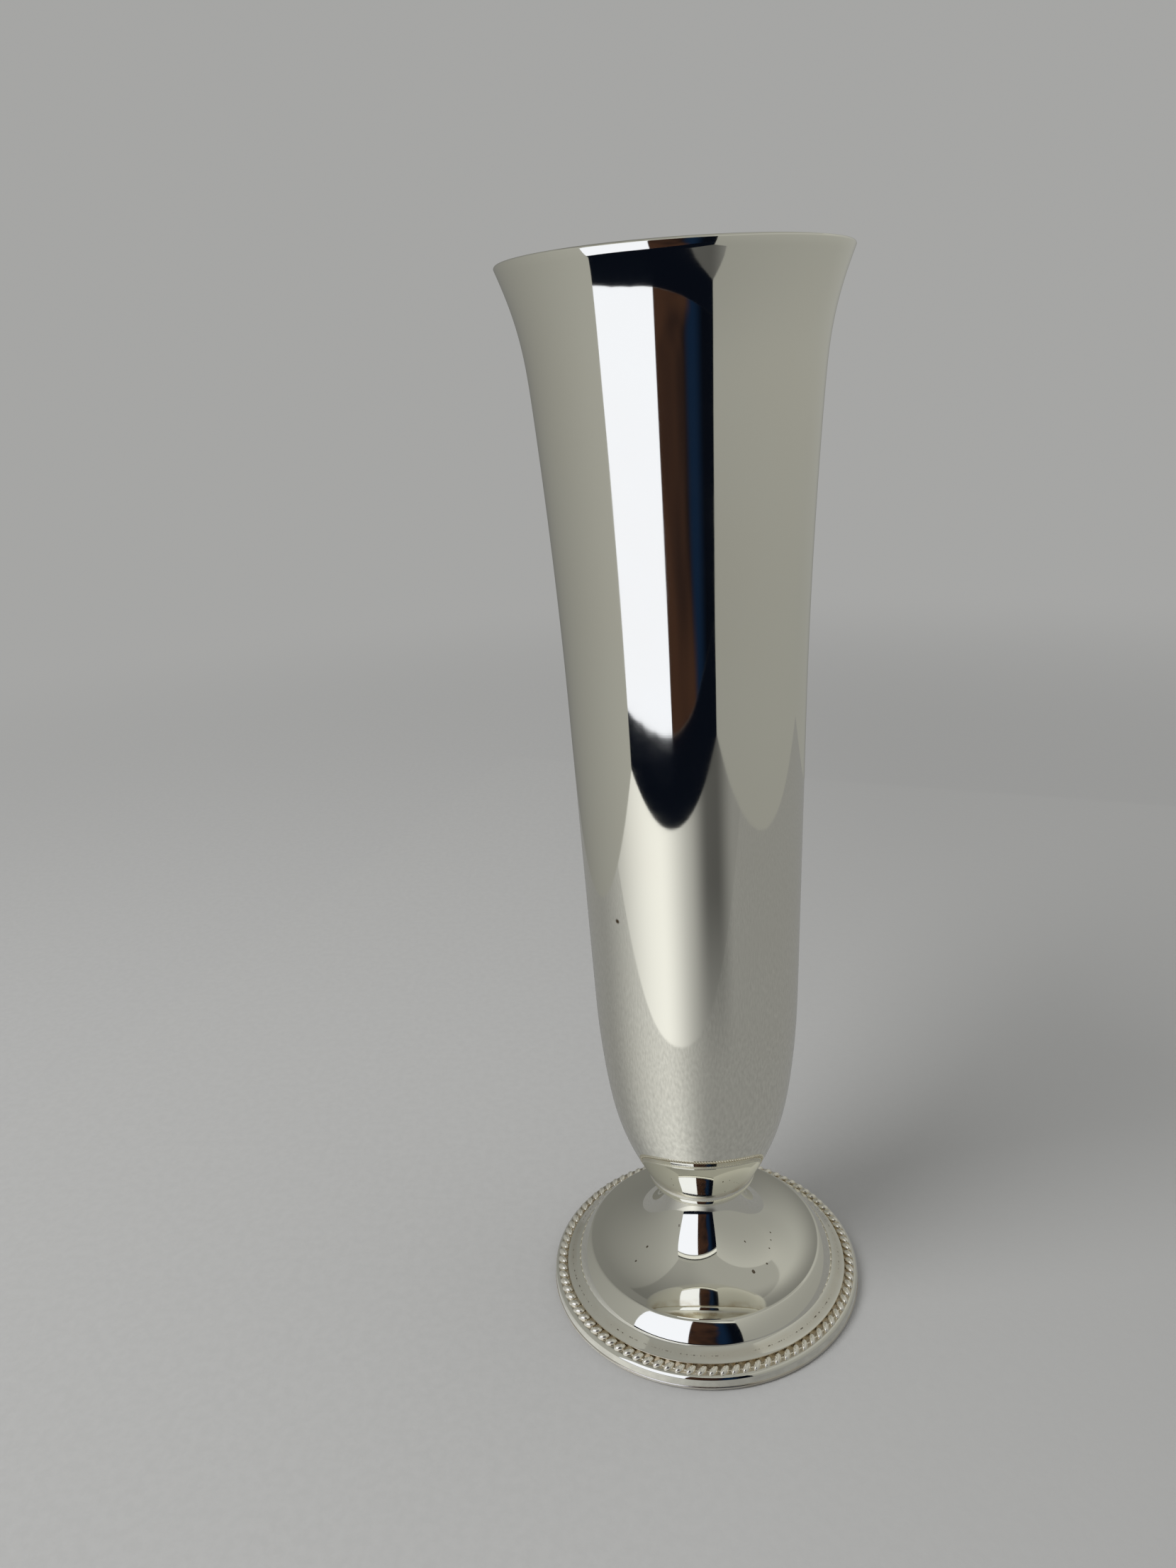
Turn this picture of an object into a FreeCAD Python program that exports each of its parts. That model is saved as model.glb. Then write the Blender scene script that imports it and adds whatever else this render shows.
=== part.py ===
import FreeCAD, Part
import math
import os
from types import SimpleNamespace

import Sketcher

# A trumpet vase in silver-plated brass on a weighted pedestal foot with a beaded border.
# Millimetres, +Z up, the origin in the middle of the pad that it stands on.

os.makedirs("parts", exist_ok=True)
doc = FreeCAD.newDocument("trumpet_vase")

sizes = {
    # trumpet body: a raised tube with a rounded lower end and a flared mouth
    "overallHeight": 229.0,
    "mouthRadius": 32.4,
    "bellyRadius": 22.6,
    "bodyFootRadius": 12.95,
    "bodyWall": 0.9,
    "bowlRise": 21.8,
    "bellyRise": 25.5,
    "throatDrop": 82.0,
    "mouthDrop": 18.5,
    # floor disc soldered inside the lower end
    "floorThickness": 1.0,
    "solderGap": 0.15,
    # collar ring between body and foot
    "collarHeight": 3.5,
    "collarTopStep": 0.2,
    "collarTaper": 1.15,
    # pedestal foot: a spun shell, from its neck down to its edge
    "footHeight": 28.0,
    "footRadius": 37.1,
    "footWall": 0.9,
    "neckCorner": 1.0,
    "crestWidth": 0.75,
    "crestDrop": 0.25,
    "shoulderWidth": 2.9,
    "shoulderDrop": 4.0,
    "flangeWidth": 2.9,
    "flangeDrop": 1.9,
    "seatDepth": 0.8,
    "seatHeight": 3.6,
    "edgeInset": 0.15,
    "edgeWidth": 0.95,
    "edgeDrop": 1.15,
    # beaded wire soldered round the foot
    "beadRadius": 1.0,
    "beadRise": 0.1,
    "beadCount": 90,
    "beadStripWidth": 1.2,
    "beadStripHeight": 0.3,
    "beadSeatGap": 0.25,
    # base plate with a rolled edge, and the pad glued under it
    "rollHeight": 0.95,
    "rollClearHeight": 0.3,
    "plateThickness": 0.8,
    "plateClearance": 0.25,
    "padMargin": 2.6,
    "padThickness": 0.8,
    # fastening: a stud through collar and foot, with a washer and a nut
    "studRadius": 2.0,
    "studLength": 11.0,
    "studTipChamfer": 0.4,
    "studHeadRadius": 4.0,
    "studHeadThickness": 1.2,
    "studClearance": 0.2,
    "washerRadius": 5.6,
    "washerSideGap": 1.1,
    "washerThickness": 1.0,
    "nutAcrossFlats": 7.0,
    "nutThickness": 3.2,
    "nutClearance": 0.05,
    # pitch that weights the foot
    "fillingClearance": 0.25,
    "pocketClearance": 0.3,
}

# an arc's radius as a share of the straight distance between its ends
quarterCurveShare = math.sqrt(0.5)
bowlCurveShare = 2.64
bellyCurveShare = 8.3
throatCurveShare = 18.0
mouthCurveShare = 3.06
collarCurveShare = 1.09
flareCurveShare = 0.755
crestCurveShare = 1.36
shoulderCurveShare = 2.07
flangeCurveShare = 5.7
edgeCurveShare = 0.775

# how far the body has widened at two heights, as shares of the whole
bowlWidthShare = 0.78
barrelWidthShare = 0.168
throatWidthShare = 0.52

sheet = doc.addObject("Spreadsheet::Sheet", "Sizes")
for row, (alias, value) in enumerate(sizes.items(), start=1):
    sheet.set(f"A{row}", alias)
    sheet.set(f"B{row}", str(value))
    sheet.setAlias(f"B{row}", alias)
doc.recompute()


class Size:
    # a value together with the expression that ties it to the sheet

    def __init__(self, value, text):
        self.value = value
        self.text = text

    def __add__(self, other):
        return Size(self.value + other.value, f"({self.text} + {other.text})")

    def __sub__(self, other):
        return Size(self.value - other.value, f"({self.text} - {other.text})")

    def __mul__(self, factor):
        return Size(self.value * factor, f"({self.text} * {factor})")

    def __truediv__(self, divisor):
        return Size(self.value / divisor, f"({self.text} / {divisor})")


class Corner:
    # a corner of a section, with the turn and curve of the arc that leads on from it, if one does
    # lean is the slope of the surface there, in degrees from level, for setting a wall's inside

    def __init__(self, radius, height, turn=None, curveShare=None, lean=90):
        self.radius = radius
        self.height = height
        self.turn = turn
        self.curveShare = curveShare
        self.lean = math.radians(lean)

    def vector(self):
        return FreeCAD.Vector(self.radius.value, self.height.value, 0)


dim = SimpleNamespace(**{alias: Size(value, f"Sizes.{alias}") for alias, value in sizes.items()})
zero = Size(0.0, "0")


def distance(begin, end):
    across = end.radius - begin.radius
    along = end.height - begin.height
    value = math.hypot(across.value, along.value)
    return Size(value, f"sqrt({across.text} ^ 2 + {along.text} ^ 2)")


def inset(path, depth):
    # the path walked back at a depth behind its surface
    opposite = {"left": "right", "right": "left", None: None}
    inside = []
    for i in reversed(range(len(path))):
        corner = path[i]
        before = path[i - 1] if i else Corner(zero, zero)
        radius = corner.radius - depth * round(math.sin(corner.lean), 4)
        height = corner.height - depth * round(math.cos(corner.lean), 4)
        inside.append(Corner(radius, height, opposite[before.turn], before.curveShare))
    return inside


def makeSketch(body, name):
    sketch = body.newObject("Sketcher::SketchObject", name)
    plane = next(f for f in body.Origin.OriginFeatures if f.Role == "XZ_Plane")
    sketch.AttachmentSupport = [(plane, "")]
    sketch.MapMode = "FlatFace"
    return sketch


def arcBetween(begin, end, turn, radius):
    # the shorter arc from begin to end, turning to the given side on its way
    across = end - begin
    rise = math.sqrt(max(radius ** 2 - (across.Length / 2) ** 2, 0.0))
    side = FreeCAD.Vector(-across.y, across.x, 0) / across.Length
    centre = (begin + end) / 2 + side * (rise if turn == "left" else -rise)
    first, last = (begin, end) if turn == "left" else (end, begin)
    angles = [math.atan2(p.y - centre.y, p.x - centre.x) for p in (first, last)]
    return Part.ArcOfCircle(Part.Circle(centre, FreeCAD.Vector(0, 0, 1), radius), *angles)


def bind(sketch, constraint, name, size):
    sketch.renameConstraint(sketch.addConstraint(constraint), name)
    sketch.setExpression(f"Constraints.{name}", size.text)


def drawSection(sketch, corners):
    # a closed outline, each corner held at its radius and height
    starts = []
    for i, corner in enumerate(corners):
        following = corners[(i + 1) % len(corners)]
        begin, end = corner.vector(), following.vector()
        if corner.turn is None:
            sketch.addGeometry(Part.LineSegment(begin, end), False)
            starts.append(1)
            continue
        curve = distance(corner, following) * corner.curveShare
        sketch.addGeometry(arcBetween(begin, end, corner.turn, curve.value), False)
        starts.append(1 if corner.turn == "left" else 2)
        bind(sketch, Sketcher.Constraint("Radius", i, curve.value), f"curve_{i}", curve)
    for i, corner in enumerate(corners):
        j = (i + 1) % len(corners)
        sketch.addConstraint(Sketcher.Constraint("Coincident", i, 3 - starts[i], j, starts[j]))
        if corner.radius is zero:
            sketch.addConstraint(Sketcher.Constraint("PointOnObject", i, starts[i], -2))
        else:
            across = Sketcher.Constraint("DistanceX", -1, 1, i, starts[i], corner.radius.value)
            bind(sketch, across, f"across_{i}", corner.radius)
        if corner.height is zero:
            sketch.addConstraint(Sketcher.Constraint("PointOnObject", i, starts[i], -1))
        else:
            height = Sketcher.Constraint("DistanceY", -1, 1, i, starts[i], corner.height.value)
            bind(sketch, height, f"height_{i}", corner.height)


def turnSolid(name, corners):
    # a piece turned or spun about the vertical axis
    body = doc.addObject("PartDesign::Body", name)
    body.Label = name
    sketch = makeSketch(body, f"{name}_section")
    drawSection(sketch, corners)
    turned = body.newObject("PartDesign::Revolution", f"{name}_turned")
    turned.Profile = sketch
    turned.ReferenceAxis = (sketch, ["V_Axis"])
    turned.Angle = 360
    body.Tip = turned
    return body


# radii and heights that several pieces share
plateBottom = dim.padThickness
plateTop = plateBottom + dim.plateThickness
rollTop = dim.rollClearHeight + dim.rollHeight
padRadius = dim.footRadius - dim.padMargin
neckTop = dim.footHeight
neckUnderTop = neckTop - dim.footWall
collarTop = dim.footHeight + dim.collarHeight
collarTopRadius = dim.bodyFootRadius - dim.collarTopStep
collarBaseRadius = collarTopRadius - dim.collarTaper
neckRadius = dim.washerRadius + dim.washerSideGap + dim.footWall
edgeRadius = dim.footRadius - dim.edgeInset
seatOuterRadius = edgeRadius - dim.edgeWidth
beadRingRadius = seatOuterRadius - dim.beadRadius
seatInnerRadius = beadRingRadius - dim.beadRadius - dim.beadSeatGap
washerBottom = neckUnderTop - dim.washerThickness
nutBottom = washerBottom - dim.nutThickness
nutCornerRadius = dim.nutAcrossFlats / math.sqrt(3)
studHeadBottom = collarTop - dim.studHeadThickness
studTip = collarTop - dim.studLength
studHole = dim.studRadius + dim.studClearance


def footPath():
    # the outside of the foot from its neck out to the edge of the bead seat
    flangeEdge = dim.seatHeight + dim.seatDepth
    shoulderFoot = flangeEdge + dim.flangeDrop
    shoulderTop = shoulderFoot + dim.shoulderDrop
    shoulderFootRadius = seatInnerRadius - dim.flangeWidth
    shoulderTopRadius = shoulderFootRadius - dim.shoulderWidth
    crestRadius = shoulderTopRadius - dim.crestWidth
    return [
        Corner(neckRadius, neckTop - dim.neckCorner, "left", flareCurveShare, lean=82),
        Corner(crestRadius, shoulderTop + dim.crestDrop, "right", crestCurveShare, lean=2),
        Corner(shoulderTopRadius, shoulderTop, "right", shoulderCurveShare, lean=40),
        Corner(shoulderFootRadius, shoulderFoot, "left", flangeCurveShare, lean=52),
        Corner(seatInnerRadius, flangeEdge, lean=26),
    ]


def makeTrumpetBody():
    wall = dim.bodyWall
    lip = wall / 2
    swell = dim.bellyRadius - dim.bodyFootRadius
    flare = dim.mouthRadius - dim.bellyRadius
    bowlHeight = collarTop + dim.bowlRise
    bellyHeight = bowlHeight + dim.bellyRise
    barrelHeight = dim.overallHeight - dim.throatDrop
    throatHeight = dim.overallHeight - dim.mouthDrop
    outside = [
        Corner(dim.bodyFootRadius, collarTop, "left", bowlCurveShare),
        Corner(dim.bodyFootRadius + swell * bowlWidthShare, bowlHeight, "left", bellyCurveShare),
        Corner(dim.bellyRadius, bellyHeight),
        Corner(dim.bellyRadius + flare * barrelWidthShare, barrelHeight, "right", throatCurveShare),
        Corner(dim.bellyRadius + flare * throatWidthShare, throatHeight, "right", mouthCurveShare),
        Corner(dim.mouthRadius, dim.overallHeight - lip),
    ]
    inside = inset(outside, wall)
    outside[-1] = Corner(dim.mouthRadius, dim.overallHeight - lip, "left", quarterCurveShare)
    crown = Corner(dim.mouthRadius - lip, dim.overallHeight, "left", quarterCurveShare)
    return turnSolid("trumpet_body", outside + [crown] + inside)


def makeBodyFloor():
    radius = dim.bodyFootRadius - dim.bodyWall - dim.solderGap
    top = collarTop + dim.floorThickness
    return turnSolid("body_floor", [
        Corner(zero, collarTop), Corner(radius, collarTop), Corner(radius, top), Corner(zero, top),
    ])


def makeCollarRing():
    recess = dim.studHeadRadius + dim.studClearance
    return turnSolid("collar_ring", [
        Corner(studHole, neckTop),
        Corner(collarBaseRadius, neckTop, "left", collarCurveShare),
        Corner(collarTopRadius, collarTop),
        Corner(recess, collarTop),
        Corner(recess, studHeadBottom),
        Corner(studHole, studHeadBottom),
    ])


def makePedestalFoot():
    wall = dim.footWall
    path = footPath()
    inside = inset(path, wall)
    inside[-1] = Corner(neckRadius - wall, neckUnderTop)
    neck = Corner(neckRadius + dim.neckCorner, neckTop, "left", quarterCurveShare)
    seat = [
        Corner(seatInnerRadius, dim.seatHeight),
        Corner(seatOuterRadius, dim.seatHeight, "right", edgeCurveShare),
        Corner(edgeRadius, dim.seatHeight - dim.edgeDrop),
        Corner(edgeRadius, rollTop),
    ]
    seatInside = [
        Corner(edgeRadius - wall, rollTop),
        Corner(edgeRadius - wall, dim.seatHeight - wall),
        Corner(seatInnerRadius - wall / 2, dim.seatHeight - wall),
    ]
    return turnSolid("pedestal_foot", [
        Corner(studHole, neckTop), neck, *path, *seat, *seatInside, *inside[1:],
        Corner(studHole, neckUnderTop),
    ])


def makeBeadWire():
    half = dim.beadStripWidth / 2
    bottom = dim.seatHeight
    top = bottom + dim.beadStripHeight
    middleHeight = bottom + dim.beadRise
    crown = middleHeight + dim.beadRadius
    body = turnSolid("bead_wire", [
        Corner(beadRingRadius - half, bottom),
        Corner(beadRingRadius + half, bottom),
        Corner(beadRingRadius + half, top),
        Corner(beadRingRadius - half, top),
    ])
    doc.recompute()
    sketch = makeSketch(body, "bead_section")
    middle = Corner(beadRingRadius, bottom)
    crownCorner = Corner(beadRingRadius, crown)
    drawSection(sketch, [
        middle,
        Corner(beadRingRadius + dim.beadRadius, bottom),
        Corner(beadRingRadius + dim.beadRadius, middleHeight, "left", quarterCurveShare),
        crownCorner,
    ])
    axis = sketch.addGeometry(Part.LineSegment(middle.vector(), crownCorner.vector()), True)
    sketch.addConstraint(Sketcher.Constraint("Coincident", axis, 1, 0, 1))
    sketch.addConstraint(Sketcher.Constraint("Coincident", axis, 2, 3, 1))
    bead = body.newObject("PartDesign::Revolution", "bead")
    bead.Profile = sketch
    bead.ReferenceAxis = (sketch, ["Axis0"])
    bead.Angle = 360
    body.Tip = bead
    doc.recompute()
    ring = body.newObject("PartDesign::PolarPattern", "bead_ring")
    ring.Originals = [bead]
    upright = next(f for f in body.Origin.OriginFeatures if f.Role == "Z_Axis")
    ring.Axis = (upright, [""])
    ring.Angle = 360
    ring.setExpression("Occurrences", dim.beadCount.text)
    body.Tip = ring
    return body


def makeBasePlate():
    half = dim.rollHeight / 2
    rollRadius = dim.footRadius - half
    spigotRadius = edgeRadius - dim.footWall - dim.plateClearance
    panRadius = padRadius + dim.plateClearance
    return turnSolid("base_plate", [
        Corner(zero, plateBottom),
        Corner(panRadius, plateBottom),
        Corner(panRadius + half, dim.rollClearHeight),
        Corner(rollRadius, dim.rollClearHeight, "left", quarterCurveShare),
        Corner(dim.footRadius, dim.rollClearHeight + half, "left", quarterCurveShare),
        Corner(rollRadius, rollTop),
        Corner(spigotRadius, rollTop),
        Corner(spigotRadius, plateTop),
        Corner(zero, plateTop),
    ])


def makeBaizePad():
    return turnSolid("baize_pad", [
        Corner(zero, zero), Corner(padRadius, zero),
        Corner(padRadius, plateBottom), Corner(zero, plateBottom),
    ])


def makeStemStud():
    chamfer = dim.studTipChamfer
    return turnSolid("stem_stud", [
        Corner(zero, studTip),
        Corner(dim.studRadius - chamfer, studTip),
        Corner(dim.studRadius, studTip + chamfer),
        Corner(dim.studRadius, studHeadBottom),
        Corner(dim.studHeadRadius, studHeadBottom),
        Corner(dim.studHeadRadius, collarTop),
        Corner(zero, collarTop),
    ])


def makeStudWasher():
    return turnSolid("stud_washer", [
        Corner(studHole, washerBottom), Corner(dim.washerRadius, washerBottom),
        Corner(dim.washerRadius, neckUnderTop), Corner(studHole, neckUnderTop),
    ])


def makeStudNut():
    hexagon = doc.addObject("Part::Prism", "nut_hexagon")
    hexagon.Polygon = 6
    hexagon.setExpression("Circumradius", nutCornerRadius.text)
    hexagon.setExpression("Height", dim.nutThickness.text)
    hole = doc.addObject("Part::Cylinder", "nut_hole")
    hole.setExpression("Radius", (dim.studRadius + dim.nutClearance).text)
    hole.setExpression("Height", dim.nutThickness.text)
    nut = doc.addObject("Part::Cut", "stud_nut")
    nut.Base = hexagon
    nut.Tool = hole
    nut.Label = "stud_nut"
    nut.setExpression("Placement.Base.z", nutBottom.text)
    return nut


def makeFootFilling():
    # the pitch lies behind the whole shell and leaves a stepped pocket round washer, nut and stud
    depth = dim.footWall + dim.fillingClearance
    gap = dim.pocketClearance
    outside = inset(footPath(), depth)
    top = neckUnderTop - gap
    outside[-1] = Corner(neckRadius - depth, top)
    return turnSolid("foot_filling", [
        Corner(zero, plateTop),
        Corner(edgeRadius - depth, plateTop),
        Corner(edgeRadius - depth, dim.seatHeight - depth),
        Corner(seatInnerRadius - depth / 2, dim.seatHeight - depth),
        *outside[1:],
        Corner(dim.washerRadius + gap, top),
        Corner(dim.washerRadius + gap, washerBottom - gap),
        Corner(nutCornerRadius + gap, washerBottom - gap),
        Corner(nutCornerRadius + gap, nutBottom - gap),
        Corner(dim.studRadius + gap, nutBottom - gap),
        Corner(dim.studRadius + gap, studTip - gap),
        Corner(zero, studTip - gap),
    ])


pieces = [
    makeTrumpetBody(),
    makeBodyFloor(),
    makeCollarRing(),
    makeStemStud(),
    makeStudWasher(),
    makeStudNut(),
    makePedestalFoot(),
    makeBeadWire(),
    makeFootFilling(),
    makeBasePlate(),
    makeBaizePad(),
]
doc.recompute()

for feature in doc.Objects:
    if "Invalid" in feature.State or "Error" in feature.State:
        raise RuntimeError(f"{feature.Name} failed to build: {feature.State}")
for piece in pieces:
    if piece.Shape.isNull() or not piece.Shape.isValid() or len(piece.Shape.Solids) != 1:
        raise RuntimeError(f"{piece.Label} isn't one valid solid")
for piece in pieces:
    piece.Shape.exportStep(f"parts/{piece.Label}.step")
    box = piece.Shape.optimalBoundingBox(False, False)
    print(f"{piece.Label}: {piece.Shape.Volume:.1f} mm3, z {box.ZMin:.2f} to {box.ZMax:.2f}")
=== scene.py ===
import math
from types import SimpleNamespace

import bpy
from mathutils import Matrix, Vector


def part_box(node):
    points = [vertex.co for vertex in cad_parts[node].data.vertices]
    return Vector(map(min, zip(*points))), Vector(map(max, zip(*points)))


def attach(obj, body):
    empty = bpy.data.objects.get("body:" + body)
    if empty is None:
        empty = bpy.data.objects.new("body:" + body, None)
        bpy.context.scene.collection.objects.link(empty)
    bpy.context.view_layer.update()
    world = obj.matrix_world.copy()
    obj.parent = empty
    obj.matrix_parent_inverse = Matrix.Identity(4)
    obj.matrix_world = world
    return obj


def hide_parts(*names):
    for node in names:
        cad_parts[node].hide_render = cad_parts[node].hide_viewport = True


# A silver-plated trumpet vase on a weighted, beaded foot. The frame is in metres. Sizes given here
# are in mm, and angles in degrees, counted round the axis from the front towards the right.

mm = 0.001
degree = math.radians(1)
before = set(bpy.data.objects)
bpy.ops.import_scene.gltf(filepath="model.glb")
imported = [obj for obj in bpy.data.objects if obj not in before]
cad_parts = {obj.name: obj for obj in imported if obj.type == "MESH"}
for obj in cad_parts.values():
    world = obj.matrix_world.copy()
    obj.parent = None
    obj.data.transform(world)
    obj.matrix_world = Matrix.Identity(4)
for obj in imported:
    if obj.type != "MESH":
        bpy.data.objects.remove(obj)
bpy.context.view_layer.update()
scene = bpy.context.scene
scene.view_settings.view_transform = "Standard"
print("frame loaded:", len(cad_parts), "nodes")


# camera: solved from the ellipses of mouth, beads and foot

cameraView = {
    "place": (0.0, -223.9, 209.2),
    "sensor": 36.0,      # on the picture's long side
    "lens": 25.854,
    "nearest": 10.0,
    "tiltDown": 19.75,
    "turnLeft": 5.46,
    "roll": -3.69,
}


def makeCamera():
    view = cameraView
    data = bpy.data.cameras.new("camera")
    data.lens = view["lens"]
    data.sensor_width = view["sensor"]
    data.clip_start = view["nearest"] * mm
    camera = bpy.data.objects.new("camera", data)
    scene.collection.objects.link(camera)
    turn = Matrix.Rotation(view["turnLeft"] * degree, 4, "Z")
    tilt = Matrix.Rotation((90 - view["tiltDown"]) * degree, 4, "X")
    roll = Matrix.Rotation(view["roll"] * degree, 4, "Z")
    camera.matrix_world = Matrix.Translation(Vector(view["place"]) * mm) @ turn @ tilt @ roll
    scene.camera = camera


makeCamera()
print("camera set")


# node helpers

class Shader:
    # a material's node tree, with short calls for what the finishes below use

    def __init__(self, name):
        self.material = bpy.data.materials.new(name)
        self.material.use_nodes = True
        self.tree = self.material.node_tree
        self.tree.nodes.clear()
        self.output = self.tree.nodes.new("ShaderNodeOutputMaterial")

    def node(self, kind, inputs=None, **settings):
        made = self.tree.nodes.new("ShaderNode" + kind)
        for key, value in settings.items():
            setattr(made, key, value)
        for key, value in (inputs or {}).items():
            self.feed(made.inputs[key], value)
        return made

    def feed(self, socket, value):
        if isinstance(value, bpy.types.NodeSocket):
            self.tree.links.new(value, socket)
        elif isinstance(value, tuple) and len(value) == 3 and socket.type == "RGBA":
            socket.default_value = (*value, 1.0)
        else:
            socket.default_value = value

    def math(self, operation, a, b=0.0, c=0.0):
        return self.node("Math", {0: a, 1: b, 2: c}, operation=operation).outputs[0]

    def vector(self, operation, a, b):
        return self.node("VectorMath", {0: a, 1: b}, operation=operation).outputs["Value"]

    def combine(self, x, y, z):
        return self.node("CombineXYZ", {0: x, 1: y, 2: z}).outputs[0]

    def separate(self, vector):
        return self.node("SeparateXYZ", {0: vector}).outputs

    def ramp(self, value, low, high, unit=1.0):
        # 0 below low and 1 above high, smooth between; low may be the larger
        made = self.node("MapRange", {"Value": value, "From Min": low * unit, "From Max": high * unit},
                         interpolation_type="SMOOTHSTEP")
        return made.outputs["Result"]

    def band(self, value, middle, reach, edge, unit=1.0):
        # 1 within reach of the middle, gone past a further edge
        away = self.math("ABSOLUTE", self.math("SUBTRACT", value, middle * unit))
        return self.ramp(away, reach * unit + edge * unit, reach * unit)

    def mix(self, factor, a, b):
        made = self.node("Mix", {0: factor, 6: a, 7: b}, data_type="RGBA")
        return made.outputs[2]

    def blend(self, factor, a, b):
        made = self.node("Mix", {0: factor, 2: a, 3: b}, data_type="FLOAT")
        return made.outputs[0]

    def coordinates(self):
        return self.node("TexCoord").outputs["Object"]

    def place(self):
        # Object coordinates with their height, distance from the axis and angle
        coordinates = self.coordinates()
        x, y, height = self.separate(coordinates)
        squares = self.math("ADD", self.math("MULTIPLY", x, x), self.math("MULTIPLY", y, y))
        radius = self.math("SQRT", squares)
        angle = self.math("ARCTAN2", x, self.math("MULTIPLY", y, -1.0))
        return SimpleNamespace(coordinates=coordinates, x=x, height=height, radius=radius, angle=angle)

    def noise(self, vector, scale, detail=2.0, roughness=0.5):
        made = self.node("TexNoise", {"Vector": vector, "Scale": scale, "Detail": detail,
                                      "Roughness": roughness})
        return made.outputs["Fac"]

    def patches(self, vector, scale, low, high, detail=2.0, roughness=0.5):
        # noise drawn apart into patches: none of it below low, all of it above high
        return self.ramp(self.noise(vector, scale, detail, roughness), low, high)

    def stretch(self, vector, scale):
        return self.node("Mapping", {"Vector": vector, "Scale": scale}).outputs["Vector"]

    def bump(self, height, strength, depth, under=None):
        inputs = {"Height": height, "Strength": strength, "Distance": depth * mm}
        if under is not None:
            inputs["Normal"] = under
        return self.node("Bump", inputs).outputs[0]

    def skin(self, colour, roughness, normal, metallic=0.0, sheen=0.0):
        made = self.node("BsdfPrincipled", {"Base Color": colour, "Metallic": metallic, "Normal": normal,
                                            "Roughness": roughness, "Sheen Weight": sheen})
        return made.outputs[0]

    def glow(self, colour, strength=1.0):
        return self.node("Emission", {"Color": colour, "Strength": strength}).outputs[0]

    def either(self, factor, a, b):
        return self.node("MixShader", {0: factor, 1: a, 2: b}).outputs[0]

    def finish(self, surface):
        self.tree.links.new(surface, self.output.inputs["Surface"])
        return self.material


# silver

silverFinish = {
    "colour": (0.93, 0.92, 0.84),
    "roughness": 0.035,
    "smudgeRoughness": 0.06,          # of smudges, or added where a piece has a roughness of its own
    "warmColour": (0.9, 0.86, 0.76),
    "warmShare": 0.22,
    "waveScale": 38.0,
    "waveStrength": 0.35,
    "waveDepth": 0.12,
    "ringReach": 12.0,                # radius at which the fine scratches have their true length
    "ringGrain": (90.0, 2600.0, 2600.0),
    "wipeGrain": (900.0, 900.0, 160.0),
    "scratchStrength": 0.12,
    "scratchDepth": 0.004,
    # what a piece's own marks may lay over it
    "tarnish": {"colour": (0.6, 0.51, 0.37), "roughness": 0.3},
    "dark": {"colour": (0.12, 0.085, 0.05), "roughness": 0.45},
    "dull": {"colour": (0.5, 0.48, 0.42), "roughness": 0.5, "metallic": 0.35},
}


def silverShader(name, marks, colour=None, roughness=None, wave=1.0, scratch=1.0, metallic=1.0):
    # polished plate: warm patches, faint smudges, the piece's marks, a slightly uneven surface, and
    # scratches that run round the piece and up it
    finish = silverFinish
    shader = Shader(name)
    at = shader.place()
    smudge = shader.patches(at.coordinates, scale=55.0, low=0.42, high=0.68, detail=4.0, roughness=0.6)
    warmth = shader.patches(at.coordinates, scale=28.0, low=0.4, high=0.72, detail=3.0, roughness=0.55)
    warmth = shader.math("MULTIPLY", warmth, finish["warmShare"])
    base = shader.mix(warmth, colour or finish["colour"], finish["warmColour"])
    clean = roughness or finish["roughness"]
    smudged = (roughness or 0) + finish["smudgeRoughness"]
    rough = shader.blend(smudge, clean, smudged)
    for kind, mask in marks(shader, at).items():
        over = finish[kind]
        base = shader.mix(mask, base, over["colour"])
        rough = shader.blend(mask, rough, over["roughness"])
        if "metallic" in over:
            metallic = shader.blend(mask, metallic, over["metallic"])
    along = shader.math("MULTIPLY", at.angle, finish["ringReach"] * mm)
    ring = shader.combine(along, at.radius, at.height)
    fine = shader.noise(shader.stretch(ring, finish["ringGrain"]), scale=1.0)
    wiped = shader.stretch(at.coordinates, finish["wipeGrain"])
    wiped = shader.noise(wiped, scale=1.0, detail=3.0, roughness=0.7)
    scratches = shader.blend(0.5, fine, wiped)
    uneven = shader.noise(at.coordinates, finish["waveScale"], detail=1.0)
    waved = shader.bump(uneven, finish["waveStrength"] * wave, finish["waveDepth"])
    normal = shader.bump(scratches, finish["scratchStrength"] * scratch, finish["scratchDepth"], waved)
    return shader.finish(shader.skin(base, rough, normal, metallic))


# meshes turned about the axis

turning = {
    "arcStep": 3.0,        # of an arc from one point to the next, at most
    "sharpAngle": 40.0,    # an edge that turns more is shaded sharp
    "onAxis": 1e-6,        # a point nearer to the axis than this is a pole
}
quarter = math.sqrt(0.5)   # curve share of a quarter turn


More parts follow.
